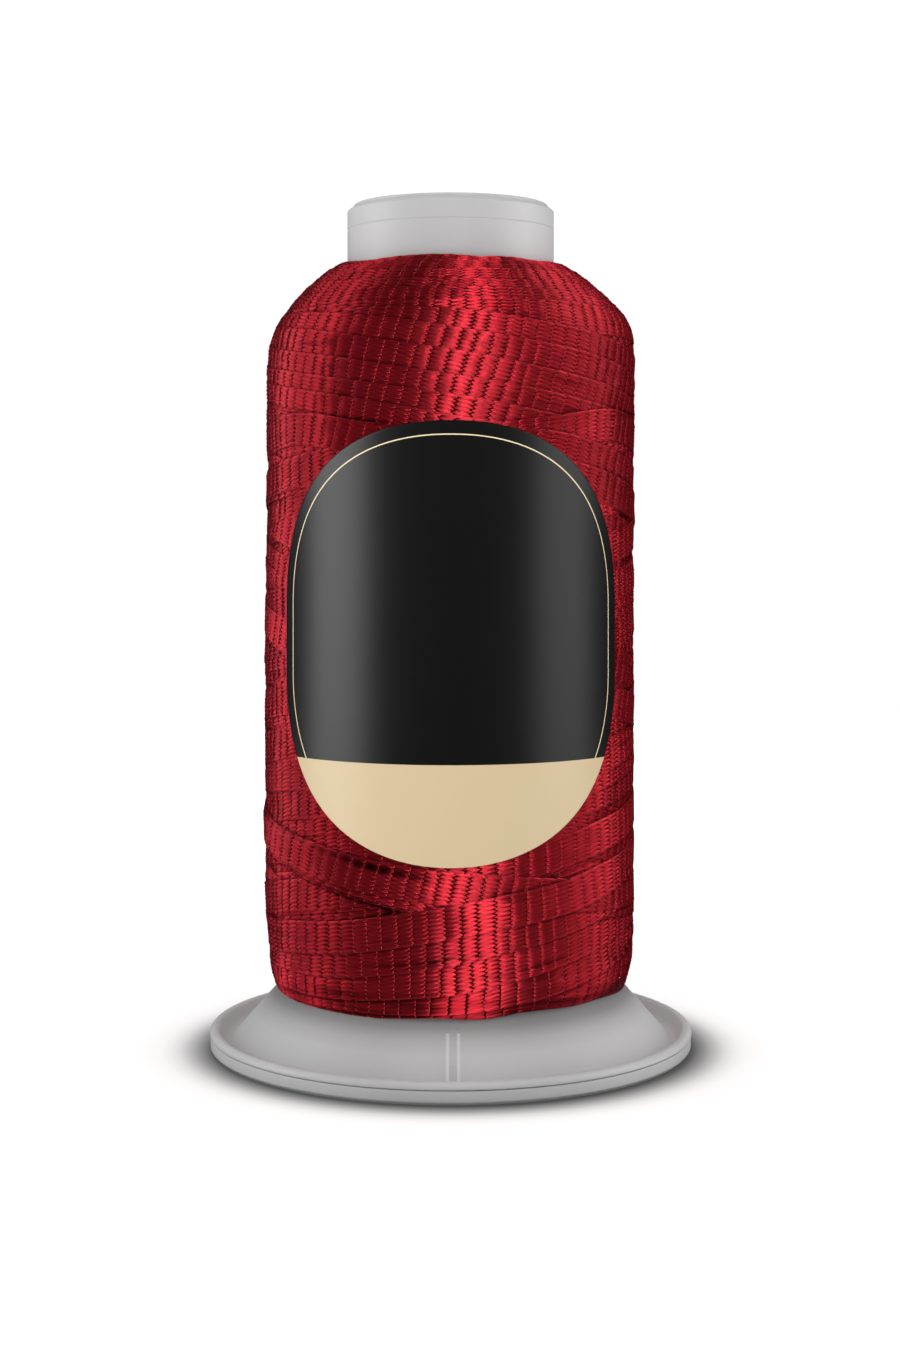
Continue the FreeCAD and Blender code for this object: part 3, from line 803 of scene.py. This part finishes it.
fq = [ring_quads(k * NL, (k + 1) * NL) for k in range(len(rings) - 1)]
b0 = n_front + 1
bq = [ring_quads(b0 + (k + 1) * NL, b0 + k * NL) for k in range(len(back_rings) - 1)]
bq.append(ring_quads(b0, 0))
fan_f = np.stack([(len(rings) - 1) * NL + i, (len(rings) - 1) * NL + i2, np.full(NL, n_front)], 1)
fan_b = np.stack([b0 + (len(back_rings) - 1) * NL + i2, b0 + (len(back_rings) - 1) * NL + i, np.full(NL, len(pts) - 1)], 1)
quads = np.concatenate(fq + bq)
n_front_quads = (len(rings) - 1) * NL
th_l = pts[:, 0] / WIND_R
r_l = WIND_R + pts[:, 2]
co = np.stack([r_l * np.sin(th_l), -r_l * np.cos(th_l), pts[:, 1] + Z0], -1)
idx = np.concatenate([quads.ravel(), fan_f.ravel(), fan_b.ravel()])
sizes = np.concatenate([np.full(len(quads), 4), np.full(2 * NL, 3)])
# which way do the front faces look
q0 = quads[NL * 5]
nrm = np.cross(co[q0[1]] - co[q0[0]], co[q0[3]] - co[q0[0]])
if nrm @ co[q0[0]] * np.array(1.0) - nrm[2] * co[q0[0]][2] < 0:
    quads = quads[:, ::-1]
    fan_f, fan_b = fan_f[:, ::-1], fan_b[:, ::-1]
    idx = np.concatenate([quads.ravel(), fan_f.ravel(), fan_b.ravel()])
plan = pts[:, :2][idx]
face_no = np.repeat(np.arange(len(sizes)), sizes)
is_front = (face_no < n_front_quads) | ((face_no >= len(quads)) & (face_no < len(quads) + NL))
u_front = np.stack([(plan[:, 0] + 31.0) / 70.0, (plan[:, 1] - 31.0) / 70.0], 1)
u_back = np.stack([0.955 + (plan[:, 0] + 31.0) / 62.0 * 0.04, 0.02 + (plan[:, 1] - 31.0) / 70.0 * 0.04], 1)
uv_bake = np.where(is_front[:, None], u_front, u_back)
uv_print = plan / 100.0
label = new_mesh_object("label_sticker", co, idx, sizes, uvs={"print": uv_print, "OFBake": uv_bake},
                        attrs={"edge_mm": pts[:, 3]})

# ---------------------------------------------------------------- materials
# satin ribbon
ribbon_mat, nt, sh = material("satin_ribbon")
uvn = node(nt, "ShaderNodeUVMap", _uv_map="tape")
tgn = node(nt, "ShaderNodeTangent", _direction_type="UV_MAP", _uv_map="tape")
nt.links.new(tgn.outputs[0], sh.inputs["Tangent"])
mp = node(nt, "ShaderNodeMapping")
mp.inputs["Scale"].default_value = (220.0, 9.0, 1.0)
nt.links.new(uvn.outputs[0], mp.inputs[0])
fil = node(nt, "ShaderNodeTexNoise", Scale=1.0, Detail=3.0, Roughness=0.6)
nt.links.new(mp.outputs[0], fil.inputs["Vector"])
mp2 = node(nt, "ShaderNodeMapping")
mp2.inputs["Scale"].default_value = (14.0, 2.2, 1.0)
nt.links.new(uvn.outputs[0], mp2.inputs[0])
blot = node(nt, "ShaderNodeTexNoise", Scale=1.0, Detail=2.0, Roughness=0.5)
nt.links.new(mp2.outputs[0], blot.inputs["Vector"])
c_fil = ramp(nt, fil.outputs["Fac"], [(0.25, (0.50, 0.009, 0.018, 1)), (0.75, (0.74, 0.026, 0.044, 1))])
c_all = mix_rgb(nt, math_node(nt, "MULTIPLY", blot.outputs["Fac"], 0.6), c_fil, (0.56, 0.013, 0.027, 1.0))
# the tone changes slowly along the ribbon, so neighbouring strips differ a little
mp3 = node(nt, "ShaderNodeMapping")
mp3.inputs["Scale"].default_value = (0.2, 0.16, 1.0)
nt.links.new(uvn.outputs[0], mp3.inputs[0])
slow = node(nt, "ShaderNodeTexNoise", Scale=1.0, Detail=1.0, Roughness=0.5)
nt.links.new(mp3.outputs[0], slow.inputs["Vector"])
dark_w = math_node(nt, "MULTIPLY", math_node(nt, "SUBTRACT", 0.56, slow.outputs["Fac"]), 3.2, clamp=True)
c_all = mix_rgb(nt, math_node(nt, "MULTIPLY", dark_w, 0.42), c_all, (0.24, 0.003, 0.008, 1.0))
sepu = node(nt, "ShaderNodeSeparateXYZ")
nt.links.new(uvn.outputs[0], sepu.inputs[0])
ph_a = math_node(nt, "FRACT", math_node(nt, "MULTIPLY", sepu.outputs["Y"], 10.0 / CELL))
ph_b = math_node(nt, "FRACT", math_node(nt, "MULTIPLY", math_node(nt, "ADD", sepu.outputs["X"], TAPE_W / 20.0), 10.0 / pitch))
off_b = math_node(nt, "ABSOLUTE", math_node(nt, "SUBTRACT", ph_b, 0.5))             # 0 on the crest, 0.5 between bundles
off_a = math_node(nt, "MINIMUM", ph_a, math_node(nt, "SUBTRACT", 1.0, ph_a))           # 0 at a column's end
steep = node(nt, "ShaderNodeAttribute", _attribute_name="steep")
# painted shade: a dark zigzag band at each stitch column, wider between the bundles and on the steep lower part
reach = math_node(nt, "ADD", math_node(nt, "MULTIPLY", math_node(nt, "POWER", off_b, 2.0),
                                       math_node(nt, "ADD", math_node(nt, "MULTIPLY", steep.outputs["Fac"], 0.40), 0.50)),
                  math_node(nt, "ADD", math_node(nt, "MULTIPLY", steep.outputs["Fac"], 0.008), 0.025))
painted_trench_shade = math_node(nt, "MULTIPLY", math_node(nt, "SUBTRACT", reach, off_a), 30.0, clamp=True)
# painted shade in the creases between the bundles, stronger towards a column's ends
crease_shade_mask = math_node(nt, "MULTIPLY", math_node(nt, "SUBTRACT", off_b, 0.30), 5.0, clamp=True)
end_a = math_node(nt, "POWER", math_node(nt, "MULTIPLY", math_node(nt, "SUBTRACT", 0.5, off_a), 2.0), 2.0)
painted_crease_shade = math_node(nt, "MULTIPLY", crease_shade_mask, math_node(nt, "ADD", math_node(nt, "MULTIPLY", end_a, 0.58),
                                                   math_node(nt, "ADD", math_node(nt, "MULTIPLY", steep.outputs["Fac"], 0.26), 0.15)))
# painted highlight: lighter dots on the bundles' ends just before each stitch column
da_n = math_node(nt, "ABSOLUTE", math_node(nt, "SUBTRACT", ph_a, 0.955))
glint_a = math_node(nt, "SUBTRACT", 1.0, math_node(nt, "MULTIPLY", da_n, 26.0), clamp=True)
glint_b = math_node(nt, "SUBTRACT", 1.0, math_node(nt, "MULTIPLY", off_b, 3.4), clamp=True)
painted_glint = math_node(nt, "MULTIPLY", glint_a, glint_b)
# painted highlight: a light line along both edges of the ribbon
painted_edge_light = math_node(nt, "MULTIPLY", math_node(nt, "SUBTRACT", math_node(nt, "ABSOLUTE", sepu.outputs["X"]), 0.228), 90.0, clamp=True)
sunk = node(nt, "ShaderNodeAttribute", _attribute_name="sunk")
c_crease_shade = mix_rgb(nt, painted_crease_shade, c_all, (0.055, 0.001, 0.003, 1.0))
c_trench_shade = mix_rgb(nt, math_node(nt, "MULTIPLY", painted_trench_shade, 0.88), c_crease_shade, (0.055, 0.002, 0.004, 1.0))
c_glint = mix_rgb(nt, math_node(nt, "MULTIPLY", painted_glint, 0.60), c_trench_shade, (0.85, 0.060, 0.095, 1.0))
c_edge_light = mix_rgb(nt, math_node(nt, "MULTIPLY", painted_edge_light, 0.30), c_glint, (0.80, 0.050, 0.080, 1.0))
# painted shade from that attribute: darker where the strip lies below its neighbours
c_fin = mix_rgb(nt, math_node(nt, "MULTIPLY", sunk.outputs["Fac"], 0.58), c_edge_light, (0.090, 0.003, 0.007, 1.0))
nt.links.new(c_fin, sh.inputs["Base Color"])
# the painted highlights get less metal
glints_and_edge_lights = math_node(nt, "MAXIMUM", painted_glint, math_node(nt, "MULTIPLY", painted_edge_light, 0.3))
met = math_node(nt, "SUBTRACT", 0.86, math_node(nt, "MULTIPLY", glints_and_edge_lights, 0.25))
# more metallic where the painted trench shade and painted edge shade darken the colour
met = math_node(nt, "ADD", met, math_node(nt, "MULTIPLY", math_node(nt, "MAXIMUM", painted_trench_shade, sunk.outputs["Fac"]), 0.14), clamp=True)
nt.links.new(met, sh.inputs["Metallic"])
sh.inputs["IOR"].default_value = 1.9
sh.inputs["Specular Tint"].default_value = (1.0, 0.52, 0.58, 1.0)
sh.inputs["Anisotropic"].default_value = 1.0
sh.inputs["Coat Weight"].default_value = 0.08
sh.inputs["Coat Roughness"].default_value = 0.36
rgh = ramp(nt, blot.outputs["Fac"], [(0.2, (0.48, 0.48, 0.48, 1)), (0.8, (0.55, 0.55, 0.55, 1))])
nt.links.new(rgh, sh.inputs["Roughness"])
bmp = node(nt, "ShaderNodeBump", Strength=0.35, Distance=0.00002)
nt.links.new(fil.outputs["Fac"], bmp.inputs["Height"])
nt.links.new(bmp.outputs[0], sh.inputs["Normal"])

# painted shade: darker than the ribbon's own red, for the deeper layers that show through gaps between the strips
core_mat, nt, sh = material("ribbon_under_shaded")
tc = node(nt, "ShaderNodeTexCoord")
nz = node(nt, "ShaderNodeTexNoise", Scale=900.0, Detail=2.0)
nt.links.new(tc.outputs["Object"], nz.inputs["Vector"])
nt.links.new(ramp(nt, nz.outputs["Fac"], [(0.3, (0.10, 0.004, 0.008, 1)), (0.7, (0.22, 0.008, 0.015, 1))]), sh.inputs["Base Color"])
sh.inputs["Roughness"].default_value = 0.6


def plastic(name, shade, rough, grain=0.06, paint_shade_and_glint=False):
    m, nt, sh = material(name)
    tc = node(nt, "ShaderNodeTexCoord")
    cloud = node(nt, "ShaderNodeTexNoise", Scale=45.0, Detail=3.0, Roughness=0.5)
    nt.links.new(tc.outputs["Object"], cloud.inputs["Vector"])
    fine = node(nt, "ShaderNodeTexNoise", Scale=2600.0, Detail=2.0, Roughness=0.6)
    nt.links.new(tc.outputs["Object"], fine.inputs["Vector"])
    speck = node(nt, "ShaderNodeTexVoronoi", Scale=260.0)
    nt.links.new(tc.outputs["Object"], speck.inputs["Vector"])
    a = tuple(c * 0.965 for c in shade) + (1.0,)
    b = tuple(min(1.0, c * 1.035) for c in shade) + (1.0,)
    base = ramp(nt, cloud.outputs["Fac"], [(0.3, a), (0.7, b)])
    dot = ramp(nt, speck.outputs["Distance"], [(0.0, (0.80, 0.80, 0.80, 1)), (0.045, (1, 1, 1, 1))])
    mul = nt.nodes.new("ShaderNodeMix")
    mul.data_type = "RGBA"
    mul.blend_type = "MULTIPLY"
    mul.inputs[0].default_value = 1.0
    nt.links.new(base, mul.inputs[6])
    nt.links.new(dot, mul.inputs[7])
    col = mul.outputs[2]
    if paint_shade_and_glint:
        # painted shade on the cone just below the winding and on the neck just above it, and a painted highlight along
        # the tops of the two tail guides
        pos = nt.nodes.new("ShaderNodeSeparateXYZ")
        nt.links.new(tc.outputs["Object"], pos.inputs[0])
        shade_z = ramp(nt, math_node(nt, "MULTIPLY", pos.outputs["Z"], 1000.0 / 140.0),
                       [(5.4 / 140, (1, 1, 1, 1)), (7.2 / 140, (0.82, 0.82, 0.82, 1)), (8.9 / 140, (0.50, 0.50, 0.50, 1)),
                        (116.4 / 140, (0.55, 0.55, 0.55, 1)), (118.2 / 140, (0.86, 0.86, 0.86, 1)), (121.0 / 140, (1, 1, 1, 1))])
        painted_shade_mul = nt.nodes.new("ShaderNodeMix")
        painted_shade_mul.data_type = "RGBA"
        painted_shade_mul.blend_type = "MULTIPLY"
        painted_shade_mul.inputs[0].default_value = 1.0
        nt.links.new(col, painted_shade_mul.inputs[6])
        nt.links.new(shade_z, painted_shade_mul.inputs[7])
        off = math_node(nt, "ABSOLUTE", math_node(nt, "SUBTRACT", math_node(nt, "ABSOLUTE", math_node(nt, "SUBTRACT",
                        math_node(nt, "MULTIPLY", pos.outputs["X"], 1000.0), 0.36)), 0.80))
        # painted highlight along the tops of the two tail guides on the front of the cone
        line = math_node(nt, "SUBTRACT", 1.0, math_node(nt, "MULTIPLY", off, 2.6), clamp=True)
        front = math_node(nt, "MULTIPLY", math_node(nt, "LESS_THAN", math_node(nt, "ABSOLUTE", math_node(nt, "ADD", pos.outputs["Y"], 0.0327)), 0.0040), math_node(nt, "LESS_THAN", pos.outputs["Z"], 0.0085))
        col = mix_rgb(nt, math_node(nt, "MULTIPLY", math_node(nt, "MULTIPLY", line, front), 0.50), painted_shade_mul.outputs[2], (0.80, 0.80, 0.80, 1.0))
    nt.links.new(col, sh.inputs["Base Color"])
    rr = ramp(nt, cloud.outputs["Fac"], [(0.25, (rough - 0.04,) * 3 + (1,)), (0.75, (rough + 0.05,) * 3 + (1,))])
    nt.links.new(rr, sh.inputs["Roughness"])
    sh.inputs["IOR"].default_value = 1.49
    bmp = node(nt, "ShaderNodeBump", Strength=grain, Distance=0.00003)
    nt.links.new(fine.outputs["Fac"], bmp.inputs["Height"])
    nt.links.new(bmp.outputs[0], sh.inputs["Normal"])
    return m


base_mat = plastic("moulded_grey_base", (0.62, 0.62, 0.622), 0.42)
barrel_mat = plastic("moulded_grey_barrel", (0.55, 0.55, 0.553), 0.40, paint_shade_and_glint=True)
bush_mat = plastic("moulded_grey_bush", (0.56, 0.56, 0.56), 0.40)

# printed label
label_mat, nt, sh = material("printed_label")
uvn = node(nt, "ShaderNodeUVMap", _uv_map="print")
sep = node(nt, "ShaderNodeSeparateXYZ")
nt.links.new(uvn.outputs[0], sep.inputs[0])
edge = node(nt, "ShaderNodeAttribute", _attribute_name="edge_mm")
zmm = math_node(nt, "MULTIPLY", sep.outputs["Y"], 100.0)
beige_mask = math_node(nt, "MULTIPLY", math_node(nt, "SUBTRACT", 47.22, zmm), 25.0, clamp=True)
g1 = math_node(nt, "MULTIPLY", math_node(nt, "SUBTRACT", edge.outputs["Fac"], 1.96), 30.0, clamp=True)
g2 = math_node(nt, "MULTIPLY", math_node(nt, "SUBTRACT", 2.17, edge.outputs["Fac"]), 30.0, clamp=True)
gold_mask = math_node(nt, "MULTIPLY", g1, g2)
paper = node(nt, "ShaderNodeTexNoise", Scale=900.0, Detail=3.0, Roughness=0.6)
nt.links.new(uvn.outputs[0], paper.inputs["Vector"])
black = ramp(nt, paper.outputs["Fac"], [(0.3, (0.0044, 0.0044, 0.0046, 1)), (0.7, (0.0064, 0.0064, 0.0066, 1))])
beige = ramp(nt, paper.outputs["Fac"], [(0.3, (0.530, 0.415, 0.252, 1)), (0.7, (0.568, 0.448, 0.275, 1))])
gold = ramp(nt, paper.outputs["Fac"], [(0.3, (0.72, 0.58, 0.36, 1)), (0.7, (0.80, 0.66, 0.42, 1))])
c1 = mix_rgb(nt, gold_mask, black, gold)
c2 = mix_rgb(nt, beige_mask, c1, beige)
nt.links.new(c2, sh.inputs["Base Color"])
rg = ramp(nt, paper.outputs["Fac"], [(0.3, (0.34, 0.34, 0.34, 1)), (0.7, (0.38, 0.38, 0.38, 1))])
nt.links.new(rg, sh.inputs["Roughness"])
sh.inputs["IOR"].default_value = 1.5
bmp = node(nt, "ShaderNodeBump", Strength=0.05, Distance=0.00002)
nt.links.new(paper.outputs["Fac"], bmp.inputs["Height"])
nt.links.new(bmp.outputs[0], sh.inputs["Normal"])


def put(ob, mat):
    ob.data.materials.clear()
    ob.data.materials.append(mat)


for ob in ribbon_objects:
    put(ob, ribbon_mat)
    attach(ob, "spool")
    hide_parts("ribbon_winding")
put(core, core_mat)
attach(core, "spool")
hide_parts("ribbon_winding")
put(label, label_mat)
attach(label, "spool")
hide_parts("front_label")
for name, mat in (("snap_base", base_mat), ("barrel", barrel_mat), ("spindle_bush", bush_mat)):
    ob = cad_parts[name]
    if not ob.material_slots:
        ob.data.materials.append(mat)
    for sl in ob.material_slots:
        sl.material = mat

# ---------------------------------------------------------------- floor, backdrop, light
def plane(name, size, location, rotation, mat):
    me = bpy.data.meshes.new(name)
    x, y = size[0] / 2, size[1] / 2
    me.from_pydata([(-x, -y, 0), (x, -y, 0), (x, y, 0), (-x, y, 0)], [], [(0, 1, 2, 3)])
    ob = bpy.data.objects.new(name, me)
    ob.location = location
    ob.rotation_euler = rotation
    me.materials.append(mat)
    bpy.context.scene.collection.objects.link(ob)
    return ob


floor_mat, nt, sh = material("pale_floor")
sh.inputs["Roughness"].default_value = 0.9
sh.inputs["Specular IOR Level"].default_value = 0.0
tc = node(nt, "ShaderNodeTexCoord")
sh_ = node(nt, "ShaderNodeVectorMath", _operation="ADD")
sh_.inputs[1].default_value = (-0.0003, 0.0005, 0.0)
nt.links.new(tc.outputs["Object"], sh_.inputs[0])
ln_ = node(nt, "ShaderNodeVectorMath", _operation="LENGTH")
nt.links.new(sh_.outputs[0], ln_.inputs[0])
# painted contact shadow: the floor's colour darkens towards the rim of the base
painted_contact_shadow = ramp(nt, math_node(nt, "MULTIPLY", ln_.outputs["Value"], 10.0),
               [(0.360, (0.02, 0.02, 0.02, 1)), (0.382, (0.09, 0.09, 0.09, 1)), (0.400, (0.25, 0.25, 0.25, 1)), (0.416, (0.44, 0.44, 0.44, 1)),
                (0.432, (0.64, 0.64, 0.64, 1)), (0.447, (0.76, 0.76, 0.76, 1)), (0.462, (0.84, 0.84, 0.84, 1)), (0.500, (0.90, 0.90, 0.90, 1))])
nt.links.new(painted_contact_shadow, sh.inputs["Base Color"])
# the floor glows, not at all near the spool and more further out, so the painted shadow stays dark
floor_glow_by_distance = node(nt, "ShaderNodeMapRange", From__Min=0.05, From__Max=0.30, To__Min=0.0, To__Max=0.55)
nt.links.new(ln_.outputs["Value"], floor_glow_by_distance.inputs["Value"])
sh.inputs["Emission Color"].default_value = (1, 1, 1, 1)
nt.links.new(floor_glow_by_distance.outputs["Result"], sh.inputs["Emission Strength"])
back_mat = bpy.data.materials.new("pale_backdrop")
back_mat.use_nodes = True
nt = back_mat.node_tree
nt.nodes.clear()
out = nt.nodes.new("ShaderNodeOutputMaterial")
em = nt.nodes.new("ShaderNodeEmission")
em.inputs["Color"].default_value = (1, 1, 1, 1)
em.inputs["Strength"].default_value = 1.02
nt.links.new(em.outputs[0], out.inputs[0])
floor = plane("floor", (6.0, 4.0), (0, 0, 0), (0, 0, 0), floor_mat)
backdrop = plane("backdrop", (8.0, 4.0), (0, 0.6, 2.0), (math.pi / 2, 0, 0), back_mat)
for ob in (floor, backdrop):
    ob.visible_glossy = False


def area(name, size, azimuth, elevation, distance, radiance, target=(0, 0, 0.07)):
    """A softbox that looks at target. Azimuth 0 is the front, 90 the right."""
    from mathutils import Vector
    la = bpy.data.lights.new(name, "AREA")
    la.shape = "RECTANGLE"
    la.size, la.size_y = size
    la.energy = radiance * math.pi * size[0] * size[1]
    ob = bpy.data.objects.new(name, la)
    a, e = math.radians(azimuth), math.radians(elevation)
    d = Vector((math.sin(a) * math.cos(e), -math.cos(a) * math.cos(e), math.sin(e)))
    ob.location = Vector(target) + d * distance
    ob.rotation_euler = (-d).to_track_quat("-Z", "Y").to_euler()
    bpy.context.scene.collection.objects.link(ob)
    return ob


def linked(name, items, state):
    """A set of objects that a light is kept to (INCLUDE) or kept away from (EXCLUDE)."""
    c = bpy.data.collections.new(name)
    for ob in items:
        c.objects.link(ob)
    for entry in c.collection_objects:
        entry.light_linking.link_state = state
    return c


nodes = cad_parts
plastics = [nodes["snap_base"], nodes["barrel"], nodes["spindle_bush"]]
GROUPS = {
    "ribbon": linked("for_ribbon", [label, floor] + plastics, "EXCLUDE"),
    "plastic": linked("for_plastic", plastics, "INCLUDE"),
    "object": linked("for_ribbon_and_plastic", [label, floor], "EXCLUDE"),
    "label": linked("for_label", [label], "INCLUDE"),
    "floor": linked("for_floor", [floor], "INCLUDE"),
}
foot_only = linked("foot_only", [nodes["snap_base"], nodes["barrel"]], "INCLUDE")
# group, name, size, azimuth, elevation, distance, radiance, seen in reflections
LIGHTS = [
    ("ribbon", "key_floor", (0.20, 0.32), 23, -20, 0.95, 10.20, True),
    ("ribbon", "key_low", (0.20, 0.32), 8.5, 8, 0.95, 18.52, True),
    ("ribbon", "key_mid", (0.20, 0.32), 9, 28, 0.95, 4.16, True),
    ("ribbon", "key_mid_right", (0.20, 0.32), 16, 28, 0.95, 4.10, True),
    ("ribbon", "key_top", (0.28, 0.34), 13, 64, 0.95, 2.77, True),
    ("ribbon", "side_left_front", (0.24, 0.60), -75, 6, 1.0, 0.20, True),
    ("ribbon", "side_left", (0.24, 0.60), -90, 6, 1.0, 3.20, True),
    ("ribbon", "side_left_back", (0.24, 0.60), -122, 6, 1.0, 3.90, True),
    ("ribbon", "high_left", (0.45, 0.45), -100, 42, 1.0, 1.99, True),
    ("ribbon", "side_right_front", (0.24, 0.60), 60, 6, 1.0, 0.12, True),
    ("ribbon", "side_right_mid", (0.24, 0.60), 75, 6, 1.0, 0.68, True),
    ("ribbon", "side_right", (0.24, 0.60), 90, 6, 1.0, 0.55, True),
    ("ribbon", "side_right_back", (0.24, 0.60), 105, 6, 1.0, 2.42, True),
    ("ribbon", "high_right", (0.45, 0.45), 105, 42, 1.0, 4.62, True),
    ("plastic", "plastic_front", (0.80, 0.80), 0, 12, 1.0, 1.50, True),
    ("plastic", "plastic_top", (0.80, 0.80), 0, 74, 1.0, 2.18, True),
    ("plastic", "plastic_left", (0.50, 0.80), -85, 15, 1.0, 2.75, True),
    ("plastic", "plastic_right", (0.50, 0.80), 85, 15, 1.0, 2.77, True),
    ("label", "label_left", (0.70, 0.70), -72, 8, 1.0, 3.9, True),
    ("label", "label_right", (0.70, 0.70), 72, 8, 1.0, 1.8, True),
    ("label", "label_front", (0.60, 0.60), 5, 30, 1.0, 6.3, False),
]
not_floor = linked("all_but_floor", [floor], "EXCLUDE")
for group, name, size, az, el, dist, radiance, glossy in LIGHTS:
    ob = area(name, size, az, el, dist, radiance)
    ob.visible_glossy = glossy
    ob.light_linking.receiver_collection = GROUPS[group]
    if el < 0:                                  # stands for the light that a white table throws back
        ob.light_linking.blocker_collection = not_floor
# the floor
ob = area("floor_top", (1.6, 1.6), 0, 89.9, 0.9, 2.5, target=(0, 0, 0))
ob.visible_glossy = False
ob.light_linking.receiver_collection = GROUPS["floor"]
ob.light_linking.blocker_collection = linked("backdrop_only", [backdrop], "INCLUDE")
backdrop.light_linking.receiver_collection = not_floor

world = bpy.data.worlds.new("studio")
bpy.context.scene.world = world
world.use_nodes = True
bg = world.node_tree.nodes.get("Background")
bg.inputs[0].default_value = (1, 1, 1, 1)
bg.inputs[1].default_value = 0.0

bpy.context.scene.view_settings.view_transform = "Standard"
bpy.context.scene.view_settings.look = "None"
bpy.context.scene.view_settings.exposure = 0.0
bpy.context.scene.view_settings.gamma = 1.0
